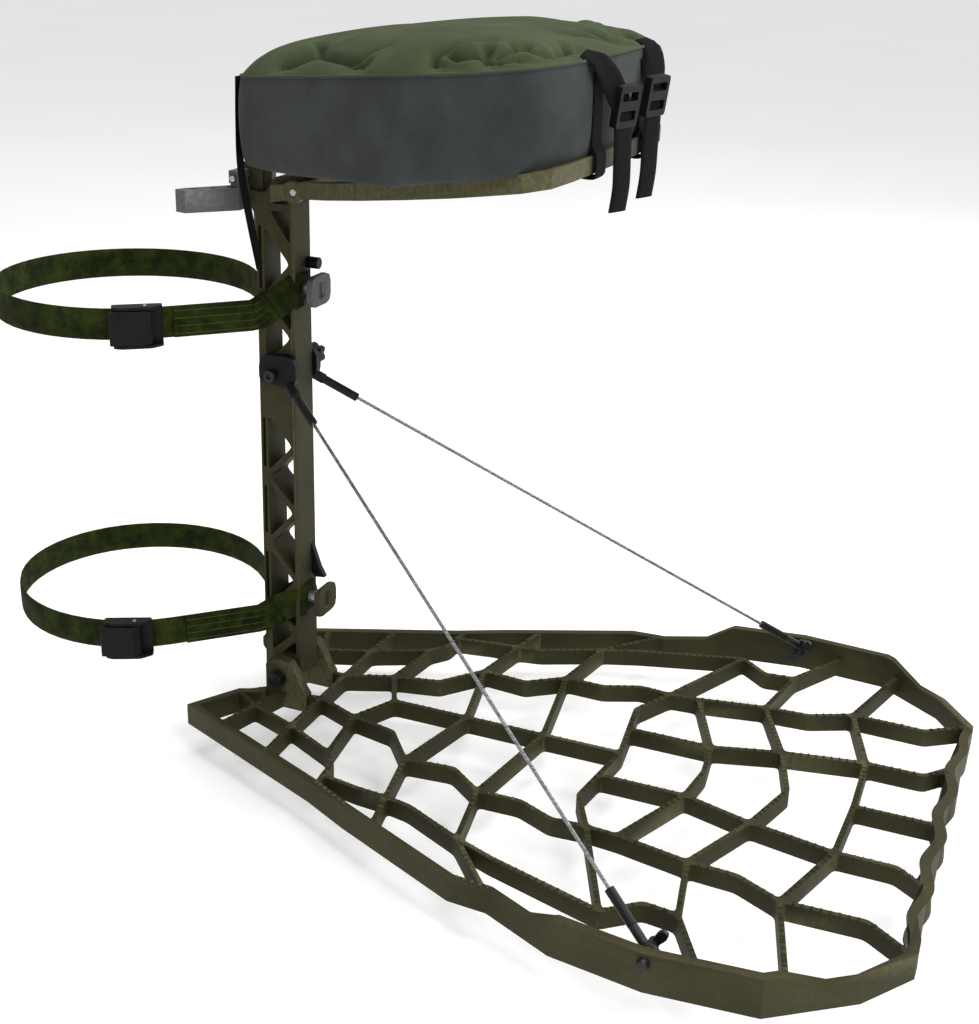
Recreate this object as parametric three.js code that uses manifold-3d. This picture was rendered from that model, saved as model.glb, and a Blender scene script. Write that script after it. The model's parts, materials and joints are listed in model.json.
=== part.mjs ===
// Hang-on tree stand. A cast platform is hinged at the foot of a cast mast and hangs on two steel cables.
// A padded seat on a band frame is hinged at the mast's head, and two webbing straps hold the mast
// to a trunk. Frame: millimetres, +Z up, +Y towards the trunk, X across. The origin is on the trunk's
// front surface, midway across the stand, level with the tops of the platform's ribs. "Near" pieces
// lie at -X and "far" pieces at +X.
import * as THREE from "three";
import { mergeVertices } from "three/addons/utils/BufferGeometryUtils.js";
import Module from "manifold-3d";

const wasm = await Module();
wasm.setup();

// ---- driving dimensions ----
const GAP = 0.3;
const PAST = 60; // how far a cutting solid runs past what it cuts

const trunk = { y: 110, radius: 110 };
const mast = { rear: -27, front: -62, foot: 14, shelf: 444, footHalf: 16, topHalf: 13, top: 458, rib: 5 };
const hinge = { y: -47, z: 15, bolt: 4, earInner: 20, earOuter: 30 };
const rim = { width: 7.5, bottom: -19, raised: 13 };
const rib = { width: 4.5, bottom: -15 };
const seat = {
  pivotY: -66, pivotZ: 448, pin: 3, nose: 11.5, slope: 0.19, under: 441, band: 13, wall: 7, rear: -46,
};
const cushion = { rear: -46, under: 480, seam: 542, seamSlope: 0.104, crown: 31 };
const recess = { half: 19, front: -68, top: 500 }; // in the cushion's rear, clear of the mast's head
const clamp = { inner: 14.6, outer: 22, boltY: -43, boltZ: 294, knobY: -58, knobZ: 303 };
const cable = { radius: 1.5, fromHalf: 20, fromY: -57.5, fromZ: 288, toHalf: 254, toY: -462, toZ: 6 };
const lug = { z: 5, bolt: 3, faceIn: 252.6, faceOut: 256.6 }; // the cable's eye, on its bolt through the rim
const webbing = { width: 26, thick: 2.5 };
const buttons = {
  upper: { z: 366, face: -79.5, beltZ: 343, buckleDeg: 52, side: 15.4 },
  lower: { z: 86, face: -82, beltZ: 66, buckleDeg: 63, side: 17.2 },
};

// ---- materials ----
const material = (color, roughness, metalness) =>
  new THREE.MeshStandardMaterial({ color, roughness, metalness });
const OLIVE = material(0x4f4b38, 0.62, 0.25);
const GREY = material(0x6c6e70, 0.6, 0.2);
const STEEL = material(0x8a8d8f, 0.35, 0.9);
const BLACK_STEEL = material(0x151515, 0.45, 0.6);
const BLACK_PLASTIC = material(0x121214, 0.55, 0.0);
const GREEN_WEBBING = material(0x47651f, 0.85, 0.0);
const BLACK_WEBBING = material(0x161618, 0.9, 0.0);
const GREEN_CLOTH = material(0x4f6136, 0.9, 0.0);

// ---- solids ----
const X_AXIS = new THREE.Vector3(1, 0, 0);
const Y_AXIS = new THREE.Vector3(0, 1, 0);
const Z_AXIS = new THREE.Vector3(0, 0, 1);
const PLAN = new THREE.Matrix4(); // an outline of (x, y), swept along +z
const SIDE = new THREE.Matrix4().makeBasis(Y_AXIS, Z_AXIS, X_AXIS); // an outline of (y, z), swept along +x
const FRONT = new THREE.Matrix4().makeBasis(X_AXIS.clone().negate(), Z_AXIS, Y_AXIS); // (-x, z), along +y

function solid(geometry) {
  const bare = geometry.clone();
  bare.deleteAttribute("normal");
  bare.deleteAttribute("uv");
  const merged = mergeVertices(bare, 1e-4);
  const vertProperties = new Float32Array(merged.attributes.position.array);
  const triVerts = new Uint32Array(merged.index.array);
  return new wasm.Manifold(new wasm.Mesh({ numProp: 3, vertProperties, triVerts }));
}

function geometryOf(manifold) {
  const { vertProperties, triVerts } = manifold.getMesh();
  const geometry = new THREE.BufferGeometry();
  geometry.setAttribute("position", new THREE.BufferAttribute(vertProperties, 3));
  geometry.setIndex(new THREE.BufferAttribute(triVerts, 1));
  geometry.computeVertexNormals();
  return geometry;
}

const join = (parts) => parts.reduce((sum, part) => sum.add(part));
const cut = (body, parts) => parts.reduce((rest, part) => rest.subtract(part), body);
const span = (sign, a, b) => [sign * a, sign * b].sort((low, high) => low - high);
const mirrored = (points) => points.map(([x, y]) => [-x, y]);

function prism(outline, low, high, plane = PLAN) {
  const shape = new THREE.Shape(outline.map(([u, v]) => new THREE.Vector2(u, v)));
  const geometry = new THREE.ExtrudeGeometry(shape, { depth: high - low, bevelEnabled: false });
  return solid(geometry.translate(0, 0, low).applyMatrix4(plane));
}

// A copy of a solid, with each of its corners moved.
function reshaped(manifold, move) {
  const { vertProperties, triVerts } = manifold.getMesh();
  const moved = vertProperties.slice();
  const corner = new THREE.Vector3();
  for (let i = 0; i < moved.length; i += 3) {
    corner.fromArray(moved, i);
    move(corner);
    corner.toArray(moved, i);
  }
  return new wasm.Manifold(new wasm.Mesh({ numProp: 3, vertProperties: moved, triVerts }));
}

function placed(manifold, [x, y, z], turnX = 0) {
  const matrix = new THREE.Matrix4().makeRotationX(THREE.MathUtils.degToRad(turnX)).setPosition(x, y, z);
  return reshaped(manifold, (corner) => corner.applyMatrix4(matrix));
}

function box(low, high) {
  const [x0, y0, z0] = low;
  const [x1, y1, z1] = high;
  const geometry = new THREE.BoxGeometry(x1 - x0, y1 - y0, z1 - z0);
  return solid(geometry.translate((x0 + x1) / 2, (y0 + y1) / 2, (z0 + z1) / 2));
}

function rod(from, to, radius, sides = 16, endRadius = radius) {
  const start = new THREE.Vector3(...from);
  const end = new THREE.Vector3(...to);
  const direction = end.clone().sub(start);
  const geometry = new THREE.CylinderGeometry(endRadius, radius, direction.length(), sides);
  const turn = new THREE.Quaternion().setFromUnitVectors(Y_AXIS, direction.normalize());
  const middle = start.add(end).multiplyScalar(0.5);
  return solid(geometry.applyQuaternion(turn).translate(middle.x, middle.y, middle.z));
}

// The left-hand normal offset of a polyline, with mitred corners.
function offset(points, distance, closed = false) {
  const count = points.length;
  const at = (i) => points[closed ? (i + count) % count : Math.min(Math.max(i, 0), count - 1)];
  return points.map(([x, y], i) => {
    const normals = [[at(i - 1), [x, y]], [[x, y], at(i + 1)]]
      .map(([a, b]) => [a[1] - b[1], b[0] - a[0]])
      .filter(([u, v]) => Math.hypot(u, v) > 1e-6)
      .map(([u, v]) => [u / Math.hypot(u, v), v / Math.hypot(u, v)]);
    const first = normals[0];
    const last = normals[normals.length - 1];
    const scale = distance / (1 + first[0] * last[0] + first[1] * last[1]);
    return [x + (first[0] + last[0]) * scale, y + (first[1] + last[1]) * scale];
  });
}

const stripOutline = (points, left, right) =>
  [...offset(points, left), ...offset(points, -right).reverse()];

// Each corner of a closed outline becomes a small curve of three points.
function rounded(points, radius) {
  const count = points.length;
  return points.flatMap((corner, i) => {
    const toward = (other) => {
      const reach = Math.hypot(other[0] - corner[0], other[1] - corner[1]);
      const share = Math.min(radius / reach, 0.45);
      return [corner[0] + (other[0] - corner[0]) * share, corner[1] + (other[1] - corner[1]) * share];
    };
    const a = toward(points[(i + count - 1) % count]);
    const b = toward(points[(i + 1) % count]);
    const middle = [0, 1].map((k) => 0.25 * a[k] + 0.5 * corner[k] + 0.25 * b[k]);
    return [a, middle, b];
  });
}

function arc(centre, radius, fromDeg, toDeg, steps) {
  return Array.from({ length: steps + 1 }, (_, i) => {
    const angle = THREE.MathUtils.degToRad(fromDeg + ((toDeg - fromDeg) * i) / steps);
    return [centre[0] + radius * Math.cos(angle), centre[1] + radius * Math.sin(angle)];
  });
}

// A closed skin through rings of equal count, each anticlockwise seen from above, from the lowest ring up.
function loft(rings) {
  const count = rings[0].length;
  const middle = (ring) => ring.reduce((sum, p) => sum.add(p), new THREE.Vector3()).divideScalar(count);
  const corners = [...rings.flat(), middle(rings[0]), middle(rings[rings.length - 1])];
  const index = [];
  for (let j = 0; j < count; j++) {
    const next = (j + 1) % count;
    for (let i = 0; i + 1 < rings.length; i++) {
      const [a, b, c, d] = [i * count + j, i * count + next, (i + 1) * count + next, (i + 1) * count + j];
      index.push(a, b, c, a, c, d);
    }
    const top = (rings.length - 1) * count;
    index.push(corners.length - 2, next, j, corners.length - 1, top + j, top + next);
  }
  const geometry = new THREE.BufferGeometry();
  const positions = corners.flatMap((corner) => corner.toArray());
  geometry.setAttribute("position", new THREE.Float32BufferAttribute(positions, 3));
  geometry.setIndex(index);
  return solid(geometry);
}

const stand = new THREE.Group();

function add(name, manifold, look) {
  const mesh = new THREE.Mesh(geometryOf(manifold), look);
  mesh.name = name;
  stand.add(mesh);
  return mesh;
}

const SIDES = [
  { name: "near", sign: -1 },
  { name: "far", sign: 1 },
];

// A round piece on the line of the lower cable bolts, which crosses the rim.
function lugRod(sign, from, to, radius, endRadius = radius) {
  return rod([sign * from, cable.toY, lug.z], [sign * to, cable.toY, lug.z], radius, 16, endRadius);
}

// ---- platform ----
// Half plans, from the stand's middle line outwards. The rim's line is its outer face.
// The ribs' lines are their middles.
const RIM_HALF = [
  [30, -34], [40, -12], [85, 14], [153, -143], [175, -185], [228, -300], [230, -332], [257, -390],
  [267, -462], [260, -543], [217, -602], [175, -632], [0, -630],
];
const EAR_HALF = [[25, -36], [25, -74], [23, -86]];
const HALF_RIBS = [
  [[23, -86], [78, -86], [128, -86]],
  [[0, -148], [41, -128], [104, -136], [120, -148], [138, -149], [156, -149]],
  [[0, -218], [87, -199], [146, -210], [187, -216]],
  [[0, -290], [107, -273], [176, -285], [228, -326]],
  [[0, -360], [42, -355], [78, -350], [118, -370], [217, -414]],
  [[0, -433], [42, -428], [120, -396]],
  [[0, -503], [59, -486], [131, -455], [198, -467], [263, -501]],
  [[0, -557], [72, -555], [151, -530], [246, -556]],
  [[42, -355], [42, -428], [59, -486], [72, -555], [72, -602], [90, -629]],
  [[41, -128], [50, -170], [87, -199], [83, -242], [107, -273], [106, -310], [120, -341], [118, -370],
    [120, -396], [131, -455], [133, -494], [151, -530], [149, -593], [168, -629]],
  [[138, -149], [144, -184], [146, -210], [150, -232], [176, -285], [189, -319], [203, -368], [217, -414],
    [195, -440], [198, -467]],
  [[23, -86], [41, -128]],
  [[60, -40], [78, -86], [104, -136]],
  [[40, -14], [60, -40], [99, -30]],
  [[25, -50], [60, -40]],
];
const MIDDLE_RIBS = [
  [[0, -148], [0, -218], [0, -290], [0, -360]],
  [[0, -557], [0, -628]],
];

// Moves each line's loose end onto the nearest corner, or onto the side that it ends on,
// which is split there.
function knit(lines) {
  const [cornerReach, sideReach] = [6, 7];
  const distance = ([ax, ay], [bx, by]) => Math.hypot(bx - ax, by - ay);
  const onSide = (point, a, b) => {
    const [dx, dy] = [b[0] - a[0], b[1] - a[1]];
    const share = ((point[0] - a[0]) * dx + (point[1] - a[1]) * dy) / (dx * dx + dy * dy);
    return share > 0 && share < 1 ? [a[0] + dx * share, a[1] + dy * share] : a;
  };
  lines.forEach((line) => [0, line.length - 1].forEach((end) => {
    const others = lines.filter((other) => other !== line);
    const corner = others.flat().find((point) => distance(point, line[end]) < cornerReach);
    if (corner) {
      line[end] = corner;
      return;
    }
    others.forEach((other) => {
      const tip = line[end];
      const side = other.slice(1).findIndex((b, i) => distance(onSide(tip, other[i], b), tip) < sideReach);
      if (side < 0) return;
      line[end] = onSide(line[end], other[side], other[side + 1]);
      other.splice(side + 1, 0, line[end]);
    });
  }));
  return lines;
}

// The closed cells of a net of lines, each anticlockwise, found by always taking the sharpest left turn.
function cellsOf(lines) {
  const key = ([x, y]) => `${x.toFixed(2)},${y.toFixed(2)}`;
  const corners = new Map();
  const link = (from, to) => {
    if (!corners.has(key(from))) corners.set(key(from), { point: from, next: new Map() });
    corners.get(key(from)).next.set(key(to), Math.atan2(to[1] - from[1], to[0] - from[0]));
  };
  lines.forEach((line) => line.slice(1).forEach((to, i) => {
    link(line[i], to);
    link(to, line[i]);
  }));
  const turned = (angle) => (angle <= 1e-9 ? angle + 2 * Math.PI : angle);
  const seen = new Set();
  const cells = [];
  corners.forEach((_, start) => corners.get(start).next.forEach((__, second) => {
    const cell = [];
    let [from, to] = [start, second];
    while (!seen.has(`${from}>${to}`)) {
      seen.add(`${from}>${to}`);
      cell.push(corners.get(from).point);
      const { next } = corners.get(to);
      const back = next.get(from);
      const [ahead] = [...next].sort((a, b) => turned(back - a[1]) - turned(back - b[1]))[0];
      [from, to] = [to, ahead];
    }
    if (cell.length && THREE.ShapeUtils.area(cell.map(([x, y]) => ({ x, y }))) > 0) cells.push(cell);
  }));
  return cells;
}

// Leaves out the corners that lie on a straight side.
const withoutStraights = (points) => points.filter(([x, y], i) => {
  const [px, py] = points[(i + points.length - 1) % points.length];
  const [nx, ny] = points[(i + 1) % points.length];
  const turn = (x - px) * (ny - y) - (y - py) * (nx - x);
  return Math.abs(turn) > 0.04 * Math.hypot(x - px, y - py) * Math.hypot(nx - x, ny - y);
});

function platformWeb() {
  const rimLine = offset(RIM_HALF, -rim.width + rib.width / 2 + 0.45).slice(1);
  rimLine[rimLine.length - 1][0] = 0;
  const half = [...EAR_HALF.slice().reverse(), ...rimLine];
  const outline = [...half, ...mirrored(half.slice(0, -1)).reverse()];
  const halves = HALF_RIBS.slice(1);
  const bar = HALF_RIBS[0];
  const bars = [bar, mirrored(bar)];
  const lines = [[...outline, outline[0]], ...bars, ...halves, ...halves.map(mirrored), ...MIDDLE_RIBS];
  const knitted = knit(lines.map((line) => line.map((point) => [...point])));
  const around = offset(withoutStraights(outline).reverse(), -rib.width / 2, true);
  const shape = new THREE.Shape(around.map(([x, y]) => new THREE.Vector2(x, y)));
  shape.holes = cellsOf(knitted).map((cell) => {
    const opening = rounded(offset(withoutStraights(cell), rib.width / 2, true), 3.5);
    return new THREE.Path(opening.map(([x, y]) => new THREE.Vector2(x, y)));
  });
  const geometry = new THREE.ExtrudeGeometry(shape, { depth: -rib.bottom, bevelEnabled: false });
  return solid(geometry.translate(0, 0, rib.bottom));
}

function platform() {
  const rimLine = [...RIM_HALF, ...mirrored(RIM_HALF.slice(0, -1)).reverse()];
  const rimWall = prism(stripOutline(rimLine, 0, rim.width), rim.bottom, rim.raised);
  const aboveRear = [[PAST, 0.4], [-370, 0.4], [-395, rim.raised], [-395, PAST], [PAST, PAST]];
  const aboveFront = [[-550, rim.raised], [-578, 0.4], [-700, 0.4], [-700, PAST], [-550, PAST]];
  const trimmed = cut(rimWall, [prism(aboveRear, -300, 300, SIDE), prism(aboveFront, -300, 300, SIDE)]);

  const earOutline = [
    [-34.5, rim.bottom + 0.4], [-34.5, 26], [-38, 30], [-47, 33], [-58, 31], [-65, 21], [-71, 7],
    [-75, 1], [-75, -14.6],
    [-50, -14.6], [-44, rim.bottom + 0.4],
  ];
  const ears = SIDES.map(({ sign }) => {
    return prism(earOutline, ...span(sign, hinge.earInner, hinge.earOuter), SIDE);
  });
  const hingeHole = rod([-PAST, hinge.y, hinge.z], [PAST, hinge.y, hinge.z], hinge.bolt + 0.5, 24);

  const bosses = SIDES.map(({ sign }) => lugRod(sign, lug.faceOut + GAP, 265, 7.5));
  const bossHoles = SIDES.map(({ sign }) => lugRod(sign, 250, 280, lug.bolt + 0.4));
  return cut(join([trimmed, platformWeb(), ...ears, ...bosses]), [hingeHole, ...bossHoles]);
}

add("platform", platform(), OLIVE);

// ---- mast ----
// The web of the mast is a zigzag between the rear chord's middle and the front chord's middle.
const CHORD = { rear: -31.5, front: -60.5 };
const zigzag = (heights) => heights.map((z, i) => [i % 2 ? CHORD.front : CHORD.rear, z]);
const UPPER_ZIGZAG = zigzag([424, 387, 356, 325, 296]);
const LOWER_ZIGZAG = zigzag([262, 230, 200, 169, 138, 104, 75, 55, 28]);

function zigzagWindows(nodes) {
  return nodes.slice(2).map((corner, i) => {
    const triangle = [nodes[i], nodes[i + 1], corner];
    const clockwise = (triangle[1][0] - triangle[0][0]) * (corner[1] - triangle[0][1]) < 0;
    return offset(clockwise ? triangle.reverse() : triangle, mast.rib / 2, true);
  });
}

function mastBody() {
  const { pivotY, pivotZ, nose } = seat;
  const outline = [
    [-33, 4], [-27, 16], [-27, 32], [-24, 36], [-24, 44], [-27, 48], [mast.rear, 424], [-20, 436],
    [-20, mast.shelf], [-36, mast.shelf], [-45, 457], [-56, pivotZ + nose],
    ...arc([pivotY, pivotZ], nose, 90, 215, 8), [mast.front, 436],
    [mast.front, mast.foot], [-57, 6], [-50, 1], [-42, 1],
  ];
  const body = prism(outline, -mast.footHalf, mast.footHalf, SIDE);
  const windows = [...zigzagWindows(UPPER_ZIGZAG), ...zigzagWindows(LOWER_ZIGZAG)];
  windows.push([[-41, 448], [-50, 451], [-58, 441], [-58, 436], [-40, 436]]);
  windows.push([[-40, 430], [-58, 430], [-58, 404]]);
  windows.push([[-58, 47], [-58, 32], [-42, 31]]);
  const openings = windows.map((window) => prism(rounded(window, 3.5), -PAST, PAST, SIDE));

  // Upright pockets in both sides of the rear chord, beside the windows whose long edge is at the rear.
  const pockets = [[366, 416], [210, 252], [148, 190], [85, 128]].flatMap(([low, high]) =>
    SIDES.map(({ sign }) => {
      const slot = [...arc([-30.2, high], 1.4, 0, 180, 4), ...arc([-30.2, low], 1.4, 180, 360, 4)];
      return prism(slot, ...span(sign, 11.5, 17), SIDE);
    }));

  const narrowing = (mast.topHalf / mast.footHalf - 1) / (mast.top - mast.foot);
  const tapered = reshaped(cut(body, [...openings, ...pockets]), (corner) => {
    corner.x *= 1 + narrowing * (corner.z - mast.foot);
  });
  const bores = [
    rod([-PAST, hinge.y, hinge.z], [PAST, hinge.y, hinge.z], hinge.bolt + 0.5, 24),
    rod([-PAST, pivotY, pivotZ], [PAST, pivotY, pivotZ], 3.4, 20),
    rod([-PAST, clamp.boltY, clamp.boltZ], [PAST, clamp.boltY, clamp.boltZ], 3.4, 16),
  ];
  return cut(tapered, bores);
}

add("mast", mastBody(), OLIVE);

// ---- foot hinge ----
function hexHead(x, y, z, radius, thickness) {
  return rod([x, y, z], [x + thickness, y, z], radius, 6);
}

function footHinge() {
  const { y, z, bolt, earOuter, earInner } = hinge;
  const bore = rod([-PAST, y, z], [PAST, y, z], bolt + 0.5, 20);
  const washer = (from, to) => rod([from, y, z], [to, y, z], 8.5, 20).subtract(bore);
  const shaft = rod([-earOuter - 2, y, z], [earOuter + 9, y, z], bolt, 20);
  add("hinge_bolt", shaft.add(hexHead(-earOuter - 8, y, z, 7, 6.2)), BLACK_STEEL);
  const nutBore = rod([earOuter, y, z], [earOuter + 12, y, z], bolt + GAP, 20);
  add("hinge_nut", hexHead(earOuter + 2, y, z, 7, 6).subtract(nutBore), BLACK_STEEL);
  SIDES.forEach(({ name, sign }) => {
    add(`hinge_spacer_${name}`, washer(...span(sign, mast.footHalf + GAP, earInner - GAP)), BLACK_PLASTIC);
    add(`hinge_washer_${name}`, washer(...span(sign, earOuter + GAP, earOuter + 1.7)), STEEL);
  });
}

footHinge();

// ---- tree bracket ----
function treeBracket() {
  const pin = { y: -17.5, z: 456, radius: 2.4 };
  const postHalf = [[0, -33], [5, -33], [5.6, -31], [7, -31], [8, -29], [8, -13], [0, -13]];
  const post = prism([...postHalf, ...mirrored(postHalf).reverse().slice(1, -1)], mast.shelf + GAP, 466);
  const pinBore = rod([-40, pin.y, pin.z], [40, pin.y, pin.z], pin.radius + GAP, 16);
  add("bracket_post", cut(post, [pinBore]), OLIVE);

  const armHalf = [
    [0, -19.6], [13.8, -19.6], [13.8, -22], [30, -22], [62, 8], [60, 18], [52, 14], [24, -9], [0, -12.5],
  ];
  const arms = prism([...armHalf, ...mirrored(armHalf).reverse().slice(1, -1)], 431, 449);
  const postRoom = box([-8.4, -20.4, 443], [8.4, -8, 460]);
  const blocks = SIDES.map(({ sign }) => {
    const [low, high] = span(sign, 15, 30);
    return box([low, -22, 448], [high, -13, 462]);
  });
  // Triangular pockets lighten the arms from above.
  const pocketsHalf = [
    [[26, -17], [34, -12], [27, -11]], [[38, -9], [45, -2.5], [38, -3]], [[49, 1], [56, 8], [50, 8]],
  ];
  const pocketPlans = [...pocketsHalf, ...pocketsHalf.map(mirrored)];
  const pockets = pocketPlans.map((outline) => prism(rounded(outline, 1.5), 437, 452));
  add("tree_bracket", cut(join([arms, ...blocks]), [pinBore, postRoom, ...pockets]), GREY);
  add("bracket_pin", rod([-33, pin.y, pin.z], [33, pin.y, pin.z], pin.radius, 16), STEEL);

  const spine = [[-26.7, 372], [-26.7, 424], [-21, 431], [-21, 405]];
  add("bracket_spine", prism(spine, -7, 7, SIDE), GREY);
}

treeBracket();

// ---- seat ----
const bandUnder = (y) => seat.under + seat.slope * (-59 - y);
const seamAt = (y) => cushion.seam + cushion.seamSlope * (-59 - y);
const FRAME_HALF = [
  [22, seat.rear], [22, -72], [51, -110], [79, -156], [103, -203], [122, -247],
  [129, -273], [136, -304], [127, -322], [95, -327], [0, -331],
];

function seatFrame() {
  const line = [...FRAME_HALF, ...mirrored(FRAME_HALF.slice(0, -1)).reverse()];
  const band = prism(stripOutline(line, 0, seat.wall), 400, 560);
  const stopBar = box([-18, seat.pivotY - 19, 400], [18, seat.pivotY - seat.nose - 0.6, 560]);
  const slab = [-30, -370].map((y) => [y, bandUnder(y)]);
  const top = [-370, -30].map((y) => [y, bandUnder(y) + seat.band]);
  const level = prism([...slab, ...top], -200, 200, SIDE);
  const cheeks = SIDES.map(({ sign }) => {
    return rod([sign * 15, seat.pivotY, seat.pivotZ], [sign * 22, seat.pivotY, seat.pivotZ], 9, 20);
  });
  const bore = rod([-PAST, seat.pivotY, seat.pivotZ], [PAST, seat.pivotY, seat.pivotZ], 3.4, 20);
  return band.add(stopBar).intersect(level).add(join(cheeks)).subtract(bore);
}

add("seat_frame", seatFrame(), OLIVE);
const pivotEnd = 21.5;
const pivotPin = rod([-pivotEnd, seat.pivotY, seat.pivotZ], [pivotEnd, seat.pivotY, seat.pivotZ], seat.pin, 16);
add("seat_pivot_pin", pivotPin, STEEL);

// The cushion's plan: narrow and square at the rear, widest behind its round front.
const CUSHION_HALF = [
  [0, cushion.rear], [62, cushion.rear], [78, -56], [112, -130], [138, -205], [148, -250],
  [149, -275], [138, -300], [112, -316], [80, -324], [0, -326],
];

// Its rear end is level, and its front rests on the frame.
function seatCushion() {
  const outline = [...CUSHION_HALF, ...mirrored(CUSHION_HALF).reverse().slice(1, -1)].reverse();
  const ring = (inset, height) => offset(outline, inset, true).map(([x, y]) => new THREE.Vector3(x, y, height(y)));
  const rise = (share) => (y) => seamAt(y) + share * cushion.crown;
  const crown = [[0, 0], [12, 0.5], [34, 0.85], [58, 1]].map(([inset, share]) => ring(inset, rise(share)));
  const body = loft([ring(0, () => cushion.under), ...crown]);
  const overBand = (y) => [y, bandUnder(y) + seat.band + GAP];
  const frameRoom = prism([[-400, cushion.under - PAST], [0, cushion.under - PAST], overBand(0), overBand(-400)],
    -200, 200, SIDE);
  const mastRoom = box([-recess.half, recess.front, cushion.under - PAST], [recess.half, 0, recess.top]);
  return cut(body, [frameRoom, mastRoom]);
}

add("seat_cushion", seatCushion(), GREEN_CLOTH);

// Black webbing hangs from the cushion's front edge. One leg hooks under the frame's front bar, the other
// runs inwards through a buckle and hangs free.
const STRAP = { half: 11, thick: 1.6, topX: 54, topZ: 567, buckleX: 36, buckleZ: 537 };

function strapStrip(line, middleAt, half) {
  const strip = prism(stripOutline(line, STRAP.thick / 2, STRAP.thick / 2), -half, half, SIDE);
  return reshaped(strip, (corner) => {
    corner.x += middleAt(corner.z);
  });
}

function seatStrap(sign) {
  const leg = [[-327.4, 568], [-327.4, 512], [-331.4, 508], [-331.4, 488.9], [-322, 488.9]];
  const slack = [[-327.6, 570], [-331.4, 563], [-333.5, 537], [-336, 500], [-336, 462]];
  const lean = (STRAP.topX - STRAP.buckleX) / (STRAP.topZ - STRAP.buckleZ);
  const drop = (z) => STRAP.topZ - THREE.MathUtils.clamp(z, STRAP.buckleZ, STRAP.topZ);
  const slackX = (z) => STRAP.topX - lean * drop(z);
  const hanging = strapStrip(slack, (z) => sign * slackX(z), STRAP.half);
  return strapStrip(leg, () => sign * STRAP.topX, STRAP.half).add(hanging);
}

function ladderLock(sign) {
  const outline = rounded([[-13, -15], [13, -15], [13, 15], [-13, 15]], 3);
  const slots = [[4, 10], [-10, -3]].map(([low, high]) =>
    prism(rounded([[-9.5, low], [9.5, low], [9.5, high], [-9.5, high]], 1.5), -PAST, PAST, FRONT));
  return placed(cut(prism(outline, -3, 3, FRONT), slots), [sign * STRAP.buckleX, -341.4, STRAP.buckleZ], 8);
}

// A thin strap down the cushion's near rear corner, with its loose end beside the mast.
function rearStrap() {
  const line = [[-43.8, 540], [-43.8, 472], [-36, 384]];
  const cornerX = -62;
  const inwards = 0.43;
  return strapStrip(line, (z) => cornerX + inwards * Math.max(0, 472 - z), 5);
}

add("seat_rear_strap", rearStrap(), BLACK_WEBBING);
SIDES.forEach(({ name, sign }) => {
  add(`seat_strap_${name}`, seatStrap(sign), BLACK_WEBBING);
  add(`seat_buckle_${name}`, ladderLock(sign), BLACK_PLASTIC);
});

// ---- cables ----
const cableFrom = new THREE.Vector3(cable.fromHalf, cable.fromY, cable.fromZ);
const cableTo = new THREE.Vector3(cable.toHalf, cable.toY, cable.toZ);
const CABLE_LENGTH = cableFrom.distanceTo(cableTo);
const STUB = 13; // how far the clamp's own fitting covers the cable's top end
const SOCKET = 20; // and the lug its lower end

function alongCable(sign, distance) {
  const point = cableFrom.clone().lerp(cableTo, distance / CABLE_LENGTH);
  return [sign * point.x, point.y, point.z];
}

function sleeve(sign, from, to) {
  const bore = rod(alongCable(sign, from - 1), alongCable(sign, to + 1), cable.radius + GAP, 10);
  return rod(alongCable(sign, from), alongCable(sign, to), 3.8, 12).subtract(bore);
}

function clampBlock(sign) {
  const corners = [[-31, 288], [-60, 284], [-66, 290], [-66, 306], [-60, 312], [-36, 311], [-31, 304]];
  const stub = rod(alongCable(sign, 2), alongCable(sign, STUB), 4.5, 12);
  const block = prism(rounded(corners, 4), ...span(sign, clamp.inner, clamp.outer), SIDE).add(stub);
  const boltBore = rod([-PAST, clamp.boltY, clamp.boltZ], [PAST, clamp.boltY, clamp.boltZ], 3.4, 16);
  const knobBore = rod([0, clamp.knobY, clamp.knobZ], [PAST, clamp.knobY, clamp.knobZ], 2.9, 12);
  return cut(block, sign > 0 ? [boltBore, knobBore] : [boltBore]);
}

function cableLug(sign) {
  const eye = lugRod(sign, lug.faceIn, lug.faceOut, 8);
  const socket = rod(alongCable(sign, CABLE_LENGTH - SOCKET), alongCable(sign, CABLE_LENGTH - 5), 3.6, 12);
  return eye.add(socket).subtract(lugRod(sign, 240, 270, lug.bolt + GAP));
}

function wingNut(sign) {
  const hub = lugRod(sign, lug.faceIn - 5, 240, 4.6, 4.2);
  const blades = rounded([[-15, -2.5], [-11, -4], [0, -2.5], [11, -4], [15, -2.5], [15, 2.5], [11, 4], [0, 2.5],
    [-11, 4], [-15, 2.5]], 1.5);
  const acrossTheCable = 125;
  const wings = placed(prism(blades, ...span(sign, 242, 245.5), SIDE), [0, cable.toY, lug.z], acrossTheCable);
  return hub.add(wings).subtract(lugRod(sign, 230, 260, lug.bolt + GAP));
}

SIDES.forEach(({ name, sign }) => {
  add(`cable_clamp_${name}`, clampBlock(sign), BLACK_PLASTIC);
  const end = CABLE_LENGTH - SOCKET - GAP;
  add(`cable_${name}`, rod(alongCable(sign, STUB + GAP), alongCable(sign, end), cable.radius, 8), STEEL);
  add(`upper_sleeve_${name}`, sleeve(sign, STUB + GAP, STUB + 33), BLACK_PLASTIC);
  add(`lower_sleeve_${name}`, sleeve(sign, end - 30, end), BLACK_PLASTIC);
  add(`cable_lug_${name}`, cableLug(sign), BLACK_STEEL);
  const head = lugRod(sign, 267.4, 271.5, 5, 4);
  add(`lug_bolt_${name}`, lugRod(sign, 238, 268, lug.bolt).add(head), BLACK_STEEL);
  add(`wing_nut_${name}`, wingNut(sign), BLACK_PLASTIC);
});

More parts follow.
